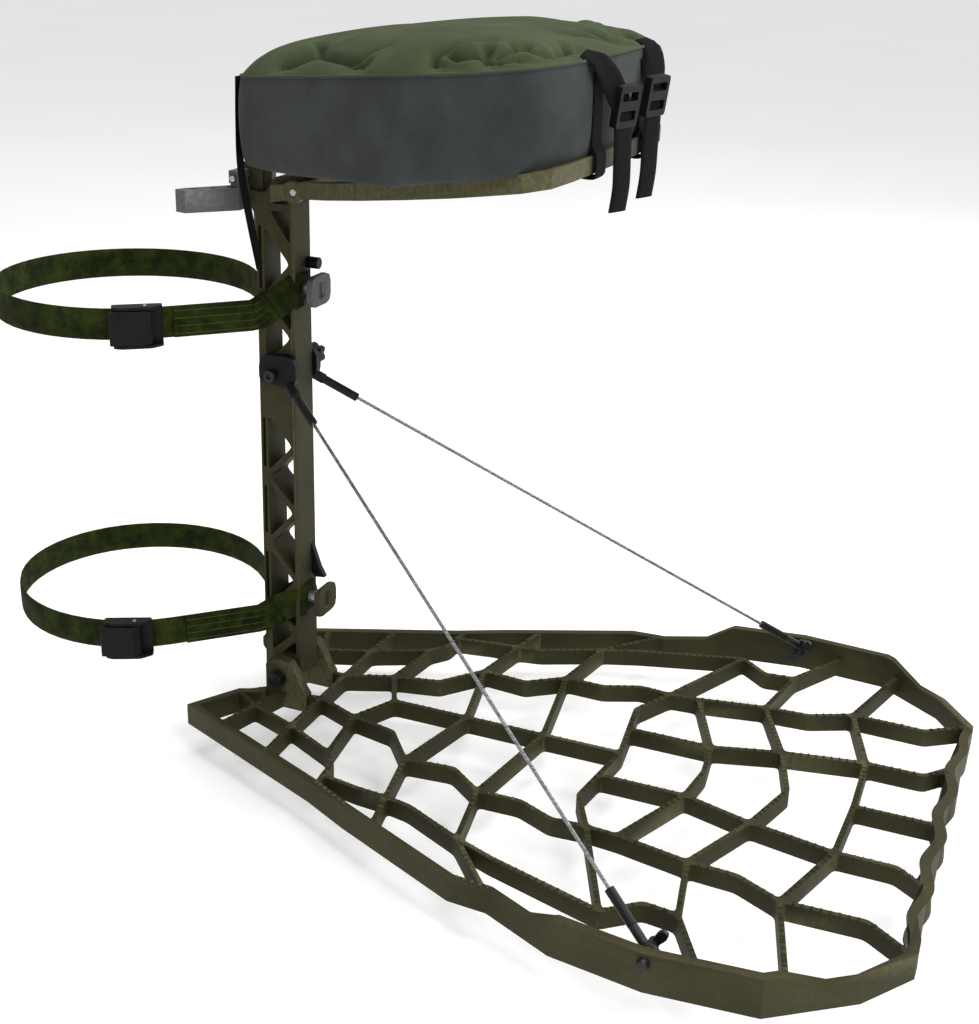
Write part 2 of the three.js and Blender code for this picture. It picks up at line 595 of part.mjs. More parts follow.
function starKnob() {
  const lobes = 5;
  const outline = Array.from({ length: lobes * 4 }, (_, i) => {
    const angle = (i / (lobes * 4)) * 2 * Math.PI;
    const radius = [9.5, 8.2, 6.4, 8.2][i % 4];
    return [clamp.knobY + radius * Math.cos(angle), clamp.knobZ + radius * Math.sin(angle)];
  });
  const stud = rod([16, clamp.knobY, clamp.knobZ], [25, clamp.knobY, clamp.knobZ], 2.5, 12);
  return prism(outline, clamp.outer + GAP, clamp.outer + 9, SIDE).add(stud);
}

const clampShaft = rod([-24, clamp.boltY, clamp.boltZ], [clamp.outer + 6, clamp.boltY, clamp.boltZ], 3, 16);
const clampRod = (from, to, radius) =>
  rod([from, clamp.boltY, clamp.boltZ], [to, clamp.boltY, clamp.boltZ], radius, 16);
const clampHead = clampRod(-clamp.outer - 5, -clamp.outer - GAP, 5.2);
const hexSocket = hexHead(-clamp.outer - 6, clamp.boltY, clamp.boltZ, 2.6, 3);
add("clamp_bolt", clampShaft.add(clampHead).subtract(hexSocket), BLACK_STEEL);
const clampNutBore = rod([0, clamp.boltY, clamp.boltZ], [PAST, clamp.boltY, clamp.boltZ], 3.3, 16);
const clampHex = hexHead(clamp.outer + GAP, clamp.boltY, clamp.boltZ, 5.6, 5);
add("clamp_nut", clampHex.subtract(clampNutBore), BLACK_STEEL);
add("star_knob", starKnob(), BLACK_PLASTIC);

// ---- trunk straps ----
// A strap's plan: across the mast's front, back along its side, then straight to the trunk and round it.
function beltPlan(side, steps) {
  const front = mast.front - GAP - webbing.thick / 2;
  const radius = trunk.radius + GAP + webbing.thick / 2;
  const leave = [side, mast.rear - 3];
  const reach = Math.hypot(leave[0], trunk.y - leave[1]);
  const bearing = THREE.MathUtils.radToDeg(Math.atan2(leave[0], trunk.y - leave[1]) + Math.acos(radius / reach));
  const half = [[side, front], leave, ...arc([0, trunk.y], radius, bearing - 90, 90, steps)];
  return half;
}

// The belt climbs from its level on the trunk to its button on the mast's front.
function belted(manifold, { z, beltZ }) {
  return reshaped(manifold, (corner) => {
    const share = THREE.MathUtils.smoothstep(-corner.y, -mast.rear - 2, -mast.front - 2);
    corner.z += THREE.MathUtils.lerp(beltZ, z, share);
  });
}

function trunkStrap(button) {
  const half = beltPlan(button.side, 18);
  const loop = [...half, ...mirrored(half.slice(0, -1)).reverse()];
  const outer = prism(offset(loop, -webbing.thick / 2, true), -webbing.width / 2, webbing.width / 2);
  const inner = prism(offset(loop, webbing.thick / 2, true), -PAST, PAST);
  const neckHole = rod([0, -90, button.z], [0, -50, button.z], 6, 16);
  return belted(outer.subtract(inner), button).subtract(neckHole);
}

// The strap's sewn end lies on the loop between the buckle and the mast.
function sewnEnd(button) {
  const [, leave, touch] = mirrored(beltPlan(button.side, 18));
  const end = [0, 1].map((k) => leave[k] + (touch[k] - leave[k]) * 0.85);
  const under = webbing.thick / 2 + GAP;
  const strip = stripOutline([[-button.side, -52], leave, end], under + 1.6, -under);
  return belted(prism(strip, -webbing.width / 2 + 0.5, webbing.width / 2 - 0.5), button);
}

// A cam buckle is built about its own middle: +x out from the trunk, y along the strap, z across it.
const BUCKLE = { half: 20, plate: 2, cheek: 13, pinX: 8, pinY: 6 };

function camBuckle(name, button) {
  const place = new THREE.Matrix4().makeTranslation(trunk.radius + webbing.thick + 2 * GAP + 0.2, 0, 0)
    .premultiply(new THREE.Matrix4().makeRotationZ(THREE.MathUtils.degToRad(-90 - button.buckleDeg)))
    .premultiply(new THREE.Matrix4().makeTranslation(0, trunk.y, button.beltZ));
  const { half, plate, cheek, pinX, pinY } = BUCKLE;
  const across = webbing.width / 2 + 1.5;
  const cheekOutline = rounded([
    [0, -half], [cheek - 3, -half], [cheek, -half + 6], [cheek, half - 10], [cheek - 7, half], [0, half],
  ], 2);
  const cheekSpans = [[-across - 2.5, -across], [across, across + 2.5]];
  const cheeks = cheekSpans.map(([low, high]) => prism(cheekOutline, low, high));
  const base = box([0, -half, -across - 1], [plate, half, across + 1]);
  const bore = rod([pinX, pinY, -PAST], [pinX, pinY, PAST], 2.1, 12);
  const body = join([base, ...cheeks]).subtract(bore);
  const leverOutline = [[pinX - 4.5, pinY + 1], [pinX - 2, pinY + 5], [pinX + 3, pinY + 5], [pinX + 7, pinY - 2],
    [pinX + 5.5, -half - 3], [pinX + 2.5, -half - 3], [pinX - 1, pinY - 6]];
  const lever = prism(rounded(leverOutline, 1.5), -across + 0.6, across - 0.6).subtract(bore);
  const pin = rod([pinX, pinY, -across - 3.5], [pinX, pinY, across + 3.5], 1.8, 12);
  const pieces = { frame: [body, BLACK_STEEL], lever: [lever, BLACK_PLASTIC], pin: [pin, STEEL] };
  Object.entries(pieces).forEach(([piece, [manifold, look]]) => {
    const mesh = add(`${name}_buckle_${piece}`, manifold, look);
    mesh.applyMatrix4(place);
  });
}

// A button on the mast's front: a round neck through the strap, and a cap that keeps the strap on it.
function strapButton(name, button, look) {
  const back = button.face + 5.5;
  const neck = rod([0, mast.front - GAP, button.z], [0, back + GAP, button.z], 5.4, 16);
  const outline = rounded([[-17, -13], [17, -13], [17, 13], [-17, 13]], 8);
  const socket = rounded([[-5, -7], [5, -7], [5, 7], [-5, 7]], 4.5);
  const socketRoom = prism(socket, button.face - 1, button.face + 2.5, FRONT);
  const cap = prism(outline, button.face, back, FRONT).subtract(socketRoom);
  add(`${name}_button_neck`, neck, STEEL);
  add(`${name}_button_cap`, placed(cap, [0, 0, button.z]), look);
}

Object.entries(buttons).forEach(([name, button]) => {
  strapButton(name, button, name === "upper" ? GREY : OLIVE);
  add(`${name}_trunk_strap`, trunkStrap(button), GREEN_WEBBING);
  add(`${name}_strap_sewn_end`, sewnEnd(button), GREEN_WEBBING);
  camBuckle(name, button);
});

// Small black keepers above the buttons stop the straps riding up.
const upperKeeper = rod([9, mast.front - GAP, 386], [9, -73, 386], 5, 12);
const lowerKeeperOutline = [[mast.front - GAP, 134], [-70, 112], [-75, 103], [-66, 102], [mast.front - GAP, 106]];
add("upper_keeper", upperKeeper, BLACK_PLASTIC);
add("lower_keeper", prism(lowerKeeperOutline, 7, 13, SIDE), BLACK_PLASTIC);

export default stand;
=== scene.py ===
import json
import math
import random

import bmesh
import bpy
from mathutils import Matrix, Vector
from mathutils.bvhtree import BVHTree
from mathutils.kdtree import KDTree
from mathutils.noise import noise


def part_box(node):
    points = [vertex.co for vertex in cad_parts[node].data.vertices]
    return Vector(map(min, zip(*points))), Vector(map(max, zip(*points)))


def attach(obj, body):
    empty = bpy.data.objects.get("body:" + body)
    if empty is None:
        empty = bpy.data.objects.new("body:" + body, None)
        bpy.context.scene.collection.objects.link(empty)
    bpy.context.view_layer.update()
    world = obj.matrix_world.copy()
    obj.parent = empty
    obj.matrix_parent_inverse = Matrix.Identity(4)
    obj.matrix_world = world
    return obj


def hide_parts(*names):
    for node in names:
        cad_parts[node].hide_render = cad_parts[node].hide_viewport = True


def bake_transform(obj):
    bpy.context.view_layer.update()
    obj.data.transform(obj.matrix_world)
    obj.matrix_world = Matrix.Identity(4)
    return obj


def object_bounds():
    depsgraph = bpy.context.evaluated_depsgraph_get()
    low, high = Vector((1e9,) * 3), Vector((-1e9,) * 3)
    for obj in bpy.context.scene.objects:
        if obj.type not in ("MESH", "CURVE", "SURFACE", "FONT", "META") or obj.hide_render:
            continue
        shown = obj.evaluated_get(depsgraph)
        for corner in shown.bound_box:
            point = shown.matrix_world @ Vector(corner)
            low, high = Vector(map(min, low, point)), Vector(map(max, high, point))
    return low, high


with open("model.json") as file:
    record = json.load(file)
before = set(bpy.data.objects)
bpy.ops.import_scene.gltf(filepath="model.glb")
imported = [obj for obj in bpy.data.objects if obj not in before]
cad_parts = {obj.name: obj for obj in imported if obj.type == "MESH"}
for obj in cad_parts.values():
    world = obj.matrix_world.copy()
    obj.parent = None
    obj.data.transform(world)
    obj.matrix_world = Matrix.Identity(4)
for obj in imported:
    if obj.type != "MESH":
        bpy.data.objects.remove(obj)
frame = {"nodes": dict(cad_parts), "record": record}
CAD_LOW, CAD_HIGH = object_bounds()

# A hang-on tree stand: the hard pieces get cast edges and finishes, and the webbing, the wire ropes and the
# cushion are made new. Lengths are in metres, unless a line says millimetres, and x, y and z are the row's.
MM = 0.001
UP = Vector((0, 0, 1))
SCENE = bpy.context.scene
SIDES = (("near", -1), ("far", 1))
BODY_OF = {
    node: body
    for body, nodes in frame["record"]["behaviour"]["bodies"].items()
    for node in nodes
}
SLOT_OF = {row["node"]: row["material_slot"] for row in frame["record"]["subparts"]}

# Places that part.mjs gives too.
TRUNK_Y = 0.110
BELT_REAR, BELT_FRONT = 0.025, 0.060  # the belts rise to their buttons between these distances ahead
BUTTONS = {
    "upper": {"z": 0.366, "belt_z": 0.343},
    "lower": {"z": 0.086, "belt_z": 0.066},
}
CABLE_TOP, CABLE_END = (0.020, -0.0575, 0.288), (0.254, -0.462, 0.006)  # on the far side
FLOOR = -0.045
RIB_UNDER = -0.015
CUSHION_HALF = [
    (0, -46), (62, -46), (78, -56), (112, -130), (138, -205), (148, -250),
    (149, -275), (138, -300), (112, -316), (80, -324), (0, -326),
]  # in millimetres
CUSHION_UNDER = 0.480
CUSHION_REAR = -0.0465
BAND_START, BAND_UNDER, BAND_SLOPE, BAND_HIGH = -0.059, 0.441, 0.19, 0.0133  # the seat frame's band
SEAM, SEAM_SLOPE = 0.542, 0.104


def between(value, start, end):
    """0 up to start, 1 from end on, and straight between them."""
    return min(1, max(0, (value - start) / (end - start)))


def eased(share):
    return share * share * (3 - 2 * share)


# ---- node materials ----
class Look:
    """A principled material and short ways to add nodes to it."""

    def __init__(self, name, roughness=0.5, metallic=0.0, specular=0.5):
        self.material = bpy.data.materials.new(name)
        self.material.use_nodes = True
        self.tree = self.material.node_tree
        self.shader = self.tree.nodes["Principled BSDF"]
        self.shader.inputs["Roughness"].default_value = roughness
        self.shader.inputs["Metallic"].default_value = metallic
        self.shader.inputs["Specular IOR Level"].default_value = specular
        self.place = self.add("ShaderNodeTexCoord")

    def add(self, kind, **values):
        node = self.tree.nodes.new(kind)
        for key, value in values.items():
            setattr(node, key, value)
        return node

    def link(self, source, target):
        self.tree.links.new(source, target)

    def stretched(self, scale):
        mapping = self.add("ShaderNodeMapping")
        mapping.inputs["Scale"].default_value = scale
        self.link(self.place.outputs["Object"], mapping.inputs["Vector"])
        return mapping.outputs["Vector"]

    def noise(self, scale, detail=3.0, roughness=0.55, vector=None):
        node = self.add("ShaderNodeTexNoise")
        node.inputs["Scale"].default_value = scale
        node.inputs["Detail"].default_value = detail
        node.inputs["Roughness"].default_value = roughness
        self.link(vector or self.place.outputs["Object"], node.inputs["Vector"])
        return node.outputs["Fac"]

    def wave(self, scale, vector, direction):
        node = self.add("ShaderNodeTexWave", bands_direction=direction)
        node.inputs["Scale"].default_value = scale
        self.link(vector, node.inputs["Vector"])
        return node.outputs["Fac"]

    def math(self, operation, first, second):
        node = self.add("ShaderNodeMath", operation=operation)
        for value, socket in zip((first, second), node.inputs):
            if isinstance(value, (int, float)):
                socket.default_value = value
            else:
                self.link(value, socket)
        return node.outputs[0]

    def ramp(self, fac, stops):
        node = self.add("ShaderNodeValToRGB")
        for _ in stops[2:]:
            node.color_ramp.elements.new(0.5)
        for element, (position, colour) in zip(node.color_ramp.elements, stops):
            element.position = position
            element.color = (*colour, 1)
        self.link(fac, node.inputs["Fac"])
        return node.outputs["Color"]

    def mix(self, fac, first, second):
        node = self.add("ShaderNodeMix", data_type="RGBA")
        sockets = [s for s in node.inputs if s.type == "RGBA"]
        if isinstance(fac, (int, float)):
            node.inputs[0].default_value = fac
        else:
            self.link(fac, node.inputs[0])
        for value, socket in zip((first, second), sockets):
            if isinstance(value, tuple):
                socket.default_value = (*value, 1)
            else:
                self.link(value, socket)
        return next(o for o in node.outputs if o.type == "RGBA")

    def worn(self, colour, bare, low=0.53, high=0.62):
        """Lightens the edges, where the finish rubs off."""
        edge = self.add("ShaderNodeNewGeometry").outputs["Pointiness"]
        sharp = self.add("ShaderNodeMapRange")
        sharp.inputs["From Min"].default_value = low
        sharp.inputs["From Max"].default_value = high
        self.link(edge, sharp.inputs["Value"])
        patchy = self.math("MULTIPLY", sharp.outputs[0], self.noise(260, 2))
        return self.mix(patchy, colour, bare)

    def bump(self, height, distance, strength=1.0):
        node = self.add("ShaderNodeBump")
        node.inputs["Strength"].default_value = strength
        node.inputs["Distance"].default_value = distance
        self.link(height, node.inputs["Height"])
        self.link(node.outputs["Normal"], self.shader.inputs["Normal"])

    def colour(self, output):
        self.link(output, self.shader.inputs["Base Color"])
        return self.material


def casting(name, dark, light, bare, roughness):
    look = Look(name, roughness, metallic=0.1, specular=0.2)
    broad = look.noise(14, 4)
    fine = look.noise(420, 3)
    colour = look.ramp(broad, [(0.3, dark), (0.7, light)])
    colour = look.mix(look.math("MULTIPLY", fine, 0.35), colour, tuple(c * 0.7 for c in dark))
    colour = look.worn(colour, bare)
    grain = look.math("ADD", look.noise(900, 2), look.math("MULTIPLY", look.noise(180, 3), 0.8))
    look.bump(grain, 0.00018, 0.8)
    return look.colour(colour)


def moulded(name, dark, light, roughness=0.5):
    look = Look(name, roughness, specular=0.14)
    colour = look.ramp(look.noise(60, 3), [(0.35, dark), (0.75, light)])
    colour = look.worn(colour, tuple(c * 3 + 0.006 for c in light), 0.54, 0.66)
    look.bump(look.noise(1400, 2), 0.00008, 0.6)
    return look.colour(colour)


def plated(name, dark, light, roughness=0.36, metallic=0.9):
    look = Look(name, roughness, metallic)
    drawn = look.stretched((1, 1, 14))
    colour = look.ramp(look.noise(120, 3, vector=drawn), [(0.3, dark), (0.72, light)])
    look.bump(look.noise(700, 2, vector=drawn), 0.00006, 0.5)
    return look.colour(colour)


def webbing(name, dark, light, ribs):
    """Woven on the UVs, which are millimetres across and along the strap."""
    look = Look(name, 0.85, specular=0.08)
    look.shader.inputs["Sheen Weight"].default_value = 0.02
    look.shader.inputs["Sheen Roughness"].default_value = 0.5
    uv = look.place.outputs["UV"]
    across = look.wave(0.5 * ribs, uv, "X")
    along = look.wave(0.5, uv, "Y")
    weave = look.math("MULTIPLY", across, along)
    mottle = look.noise(70, 5, 0.65)
    colour = look.ramp(mottle, [(0.38, dark), (0.64, light)])
    colour = look.mix(look.math("MULTIPLY", weave, 0.6), tuple(c * 0.55 for c in dark), colour)
    look.bump(look.math("ADD", weave, look.math("MULTIPLY", mottle, 0.3)), 0.0004, 0.9)
    return look.colour(colour)


def cushion_cloth():
    """Green above the seam and grey below it, in one plain weave."""
    look = Look("cushion_cloth", 0.92, specular=0.08)
    look.shader.inputs["Sheen Weight"].default_value = 0.03
    look.shader.inputs["Sheen Roughness"].default_value = 0.6
    place = look.add("ShaderNodeSeparateXYZ")
    look.link(look.place.outputs["Object"], place.inputs[0])
    slope = look.math("MULTIPLY", place.outputs["Y"], SEAM_SLOPE)
    over = look.math("SUBTRACT", look.math("ADD", place.outputs["Z"], slope), SEAM + BAND_START * SEAM_SLOPE)
    is_top = look.math("GREATER_THAN", over, 0.0)
    patches = look.noise(16, 4)
    green = look.ramp(patches, [(0.28, (0.040, 0.055, 0.021)), (0.72, (0.064, 0.084, 0.036))])
    grey = look.ramp(patches, [(0.28, (0.028, 0.032, 0.032)), (0.72, (0.062, 0.069, 0.069))])
    colour = look.mix(is_top, grey, green)
    warp = look.noise(1500, 2, vector=look.stretched((1, 0.25, 1)))
    weft = look.noise(1500, 2, vector=look.stretched((0.25, 1, 0.5)))
    threads = look.math("ADD", warp, weft)
    colour = look.mix(look.math("MULTIPLY", threads, 0.28), colour, (0.015, 0.018, 0.012))
    # Painted shade in the channels' bottoms, with the stitched thread line: the crease mask darkens the cloth
    # there.
    crease_shade_and_thread = look.add("ShaderNodeAttribute", attribute_name="crease_shade_and_thread").outputs["Fac"]
    colour = look.mix(look.math("MULTIPLY", crease_shade_and_thread, 0.75), colour, (0.004, 0.006, 0.003))
    look.bump(threads, 0.00025, 0.7)
    return look.colour(colour)


OLIVE = casting("cast_olive", (0.021, 0.019, 0.0055), (0.043, 0.038, 0.013), (0.13, 0.12, 0.06), 0.66)
GREY = casting("cast_grey", (0.048, 0.049, 0.050), (0.085, 0.086, 0.088), (0.25, 0.25, 0.26), 0.55)
STEEL = plated("zinc_steel", (0.30, 0.31, 0.32), (0.62, 0.63, 0.64))
ROPE = plated("wire_rope", (0.10, 0.105, 0.11), (0.42, 0.43, 0.44), 0.3, 0.9)
BLACK_STEEL = plated("black_oxide", (0.008, 0.008, 0.009), (0.03, 0.03, 0.032), 0.4, 0.6)
PLASTIC = moulded("black_plastic", (0.002, 0.002, 0.0022), (0.006, 0.006, 0.0065), 0.5)
SLEEVE = moulded("shrink_sleeve", (0.004, 0.004, 0.005), (0.012, 0.012, 0.013), 0.3)
GREEN_WEB = webbing("green_webbing", (0.014, 0.022, 0.002), (0.170, 0.250, 0.016), 2)
BLACK_WEB = webbing("black_webbing", (0.003, 0.003, 0.0035), (0.011, 0.011, 0.012), 2)
CLOTH = cushion_cloth()
THREAD = moulded("green_thread", (0.045, 0.062, 0.016), (0.085, 0.11, 0.035), 0.85)

HARD = {
    "cast_olive": OLIVE, "cast_grey": GREY, "steel": STEEL,
    "black_steel": BLACK_STEEL, "black_plastic": PLASTIC,
}


# ---- meshes ----
def new_object(name, mesh, material):
    mesh.materials.clear()
    mesh.materials.append(material)
    made = bpy.data.objects.new(name, mesh)
    SCENE.collection.objects.link(made)
    return made


def mesh_of(name, corners, faces, uvs=None, smooth=True):
    mesh = bpy.data.meshes.new(name)
    mesh.from_pydata([tuple(c) for c in corners], [], faces)
    if uvs:
        layer = mesh.uv_layers.new(name="weave")
        for loop in mesh.loops:
            layer.data[loop.index].uv = uvs[loop.vertex_index]
    if smooth:
        mesh.shade_smooth()
    return mesh


def applied(obj):
    """The object's mesh with its modifiers made final."""
    bpy.context.view_layer.update()
    graph = bpy.context.evaluated_depsgraph_get()
    mesh = bpy.data.meshes.new_from_object(obj.evaluated_get(graph))
    obj.modifiers.clear()
    old = obj.data
    obj.data = mesh
    bpy.data.meshes.remove(old)
    return obj


def stands_for(obj, node):
    """Puts the object in a CAD node's place, with that node's body."""
    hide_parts(node)
    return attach(obj, BODY_OF[node])


def flat_faced(node):
    """A CAD node's mesh with the triangles of each flat face joined up again."""
    shape = bmesh.new()
    shape.from_mesh(frame["nodes"][node].data)
    bmesh.ops.remove_doubles(shape, verts=shape.verts, dist=0.00002)
    bmesh.ops.dissolve_limit(shape, angle_limit=math.radians(2), verts=shape.verts, edges=shape.edges)
    return shape


def cast_piece(node, width, segments, material=None, reshape=None):
    """A CAD node with its edges rounded."""
    shape = flat_faced(node)
    if reshape:
        reshape(shape)
    mesh = bpy.data.meshes.new(node + "_finished")
    shape.to_mesh(mesh)
    shape.free()
    mesh.shade_smooth()
    made = new_object(node + "_finished", mesh, material or HARD[SLOT_OF[node]])
    bevel = made.modifiers.new("edges", "BEVEL")
    bevel.width = width
    bevel.segments = segments
    bevel.limit_method = "ANGLE"
    bevel.angle_limit = math.radians(28)
    bevel.use_clamp_overlap = True
    normals = made.modifiers.new("normals", "WEIGHTED_NORMAL")
    normals.keep_sharp = False
    applied(made)
    return stands_for(made, node)


FRONT_WALL = CAD_LOW.y + 0.012  # the platform's front wall lies ahead of this y
WAVE_LENGTH, WAVE_HIGH = 0.074, 0.0034
WAVE_END, WAVE_FADE = 0.165, 0.03
TOOTH_PITCH, TOOTH_CELL = 0.0062, 0.005
TOOTH_INSET, TOOTH_WIDE, TOOTH_SUNK = 0.00225, 0.0019, 0.0006


def wavy_front(shape):
    """The platform's front wall runs in waves between its corners."""
    ahead = [e for e in shape.edges if all(v.co.y < FRONT_WALL for v in e.verts)]
    for edge in [e for e in ahead if abs(e.verts[0].co.x - e.verts[1].co.x) > 0.008]:
        cuts = max(1, int(edge.calc_length() / 0.005))
        bmesh.ops.subdivide_edges(shape, edges=[edge], cuts=cuts)
    for v in shape.verts:
        if v.co.y < FRONT_WALL:
            share = between(-abs(v.co.x), -WAVE_END, WAVE_FADE - WAVE_END)
            v.co.y += WAVE_HIGH * share * (math.sin(v.co.x * 2 * math.pi / WAVE_LENGTH) + 0.9)


def tooth_spots():
    """A place, a direction along the rib and one into it for each tooth on the ribs' top edges."""
    source = flat_faced("platform")
    taken, spots = set(), []
    for edge in source.edges:
        walls = [f for f in edge.link_faces if f.normal.z <= 0.9]
        on_top = len(edge.link_faces) - len(walls) == 1 and max(abs(v.co.z) for v in edge.verts) <= 0.001
        if not on_top or edge.calc_length() < 0.008:
            continue
        if not walls or min(v.co.z for v in walls[0].verts) < RIB_UNDER - 0.001:
            continue
        a, b = (v.co for v in edge.verts)
        inwards = -walls[0].normal.normalized()
        count = int(edge.calc_length() / TOOTH_PITCH)
        for i in range(count):
            place = a.lerp(b, (i + 0.5) / count) + inwards * TOOTH_INSET
            cell = (round(place.x / TOOTH_CELL), round(place.y / TOOTH_CELL))
            if cell not in taken and place.y > FRONT_WALL:
                taken.add(cell)
                spots.append((place, (b - a).normalized(), inwards))
    source.free()
    return spots


def platform_teeth():
    """Small ridges across the tops of the ribs, for grip."""
    rng = random.Random(7)
    corners, faces = [], []
    for place, along, inwards in tooth_spots():
        base = len(corners)
        high = 0.0009 + 0.0005 * rng.random()
        long = 0.0013 + 0.0007 * rng.random()
        for u, v in ((-1, -1), (1, -1), (1, 1), (-1, 1)):
            corners.append(place + along * u * long + inwards * v * TOOTH_WIDE - UP * TOOTH_SUNK)
        for v in (-0.9, 0.9):
            corners.append(place + inwards * v * TOOTH_WIDE + UP * high)
        for face in ((0, 1, 4), (2, 3, 5), (1, 2, 5, 4), (3, 0, 4, 5), (3, 2, 1, 0)):
            faces.append(tuple(base + i for i in face))
    teeth = new_object("platform_teeth", mesh_of("platform_teeth", corners, faces, smooth=False), OLIVE)
    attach(teeth, "platform_body")


# ---- webbing ----
def bend(a, b, c, d, t):
    """A point on the smooth curve from b to c, between a and d."""
    return 0.5 * ((2 * b) + (c - a) * t + (2 * a - 5 * b + 4 * c - d) * t * t
                  + (3 * b - a - 3 * c + d) * t ** 3)


def smooth_path(points, step=0.004):
    """Points close together on a curve through the given ones."""
    corners = [Vector(p) for p in points]
    corners = [corners[0] * 2 - corners[1], *corners, corners[-1] * 2 - corners[-2]]
    path = []
    for a, b, c, d in zip(corners, corners[1:], corners[2:], corners[3:]):
        count = max(2, int((c - b).length / step))
        path += [bend(a, b, c, d, i / count) for i in range(count)]
    return [*path, corners[-2]]


def neighbours(path, i, closed):
    """The points behind and ahead of point i, or the point itself at an open end."""
    ahead = path[(i + 1) % len(path)] if closed or i < len(path) - 1 else path[i]
    behind = path[i - 1] if closed or i else path[i]
    return behind, ahead


def tube_faces(count, sides, closed):
    """The faces of a tube of rings, which closes on itself or is left open."""
    faces = []
    for i in range(count if closed else count - 1):
        a, b = i * sides, ((i + 1) % count) * sides
        faces += [(a + j, a + (j + 1) % sides, b + (j + 1) % sides, b + j) for j in range(sides)]
    return faces


def ribbon(name, path, across, half, thick, material, closed=False):
    """Webbing along a path, with its width in the direction across."""
    profile = []
    columns = 6
    for side in (1, -1):
        for i in range(columns + 1):
            u = side * (2 * i / columns - 1)
            edge = 1 - abs(u) ** 6 * 0.7
            profile.append((u * half, side * thick / 2 * edge))
    corners, uvs = [], []
    run = 0.0
    for i, point in enumerate(path):
        behind, ahead = neighbours(path, i, closed)
        along = (ahead - behind).normalized()
        wide = (across - along * across.dot(along)).normalized()
        out = along.cross(wide)
        for u, v in profile:
            corners.append(point + wide * u + out * v)
            uvs.append((u / MM, run / MM))
        run += (ahead - point).length
    size = len(profile)
    faces = tube_faces(len(path), size, closed)
    if not closed:
        faces.append(tuple(range(size))[::-1])
        faces.append(tuple((len(path) - 1) * size + j for j in range(size)))
    return new_object(name, mesh_of(name, corners, faces, uvs), material)


def round_cord(name, path, radius, material):
    """A closed loop of cord that lies about level."""
    corners = []
    sides = 8
    for i, point in enumerate(path):
        behind, ahead = neighbours(path, i, True)
        along = (ahead - behind).normalized()
        out = along.cross(UP).normalized()
        up = out.cross(along)
        for j in range(sides):
            angle = 2 * math.pi * j / sides
            corners.append(point + (out * math.cos(angle) + up * math.sin(angle)) * radius)
    return new_object(name, mesh_of(name, corners, tube_faces(len(path), sides, True)), material)


def stitched(name, spots, size, material):
    """Stitches: a small lying thread at each (place, along, out)."""
    shape = bmesh.new()
    shrink = Matrix.Diagonal((size, size * 0.28, size * 0.28, 1))
    for place, along, out in spots:
        across = along.cross(out).normalized()
        turn = Matrix((along.normalized(), across, out.normalized())).transposed().to_4x4()
        lying = Matrix.Translation(place) @ turn @ shrink
        bmesh.ops.create_icosphere(shape, subdivisions=1, radius=1, matrix=lying)
    mesh = bpy.data.meshes.new(name)
    shape.to_mesh(mesh)
    shape.free()
    mesh.shade_smooth()
    return new_object(name, mesh, material)


BELT_HALF, BELT_THICK = 0.013, 0.0021
SEWN_HALF, SEWN_THICK = 0.0128, 0.0020
SEWN_THICKEST = 0.006  # where a ray meets more than this, it has met the strap's fold


def belt_height(y, button):
    share = eased(between(-y, BELT_REAR, BELT_FRONT))
    return button["belt_z"] + (button["z"] - button["belt_z"]) * share


def belt_point(tree, degrees, button, thickest=math.inf):
    """The middle of a belt's node at a bearing about the trunk's axis, or None where it isn't."""
    bearing = math.radians(degrees)
    away = Vector((math.sin(bearing), -math.cos(bearing), 0))
    for level in range(9):
        z = button["belt_z"] + (button["z"] - button["belt_z"]) * level / 8
        axis = Vector((0, TRUNK_Y, z))
        outer = tree.ray_cast(axis + away * 0.5, -away)[0]
        inner = tree.ray_cast(axis, away)[0]
        if outer and inner and (outer - inner).length < thickest:
            middle = (outer + inner) / 2
            return Vector((middle.x, middle.y, belt_height(middle.y, button)))
    return None


def node_tree(node):
    return BVHTree.FromObject(frame["nodes"][node], bpy.context.evaluated_depsgraph_get())


def trunk_strap(which):
    node = which + "_trunk_strap"
    tree = node_tree(node)
    found = [belt_point(tree, step * 1.5, BUTTONS[which]) for step in range(240)]
    path = [point for point in found if point]
    strap = ribbon(node + "_woven", path, UP, BELT_HALF, BELT_THICK, GREEN_WEB, closed=True)
    stands_for(strap, node)


def sewn_end(which):
    """The strap's end, folded back through the buckle's pin and sewn down with rows of stitches."""
    node = which + "_strap_sewn_end"
    tree = node_tree(node)
    found = [belt_point(tree, step / 4, BUTTONS[which], SEWN_THICKEST) for step in range(-360, 0)]
    path = [point for point in found if point][::3]
    strap = ribbon(node + "_woven", path, UP, SEWN_HALF, SEWN_THICK, GREEN_WEB)
    spots = []
    for row in (-0.0095, -0.0032, 0.0032, 0.0095):
        for a, b in zip(path, path[1:]):
            along = (b - a).normalized()
            out = UP.cross(along)
            if out.dot((a + b) / 2 - Vector((0, TRUNK_Y, a.z))) < 0:
                out = -out
            for share in (0.25, 0.75):
                spots.append((a.lerp(b, share) + UP * row + out * 0.0011, along, out))
    thread = stitched(node + "_stitches", spots, 0.0011, THREAD)
    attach(thread, BODY_OF[node])
    stands_for(strap, node)


# ---- wire rope ----
ROPE_LAY, ROPE_RING, ROPE_STRAND = 0.021, 0.00098, 0.00055  # one turn's length, and two radii
STRANDS, STRAND_SIDES = 6, 6
RINGS_PER_TURN = 12


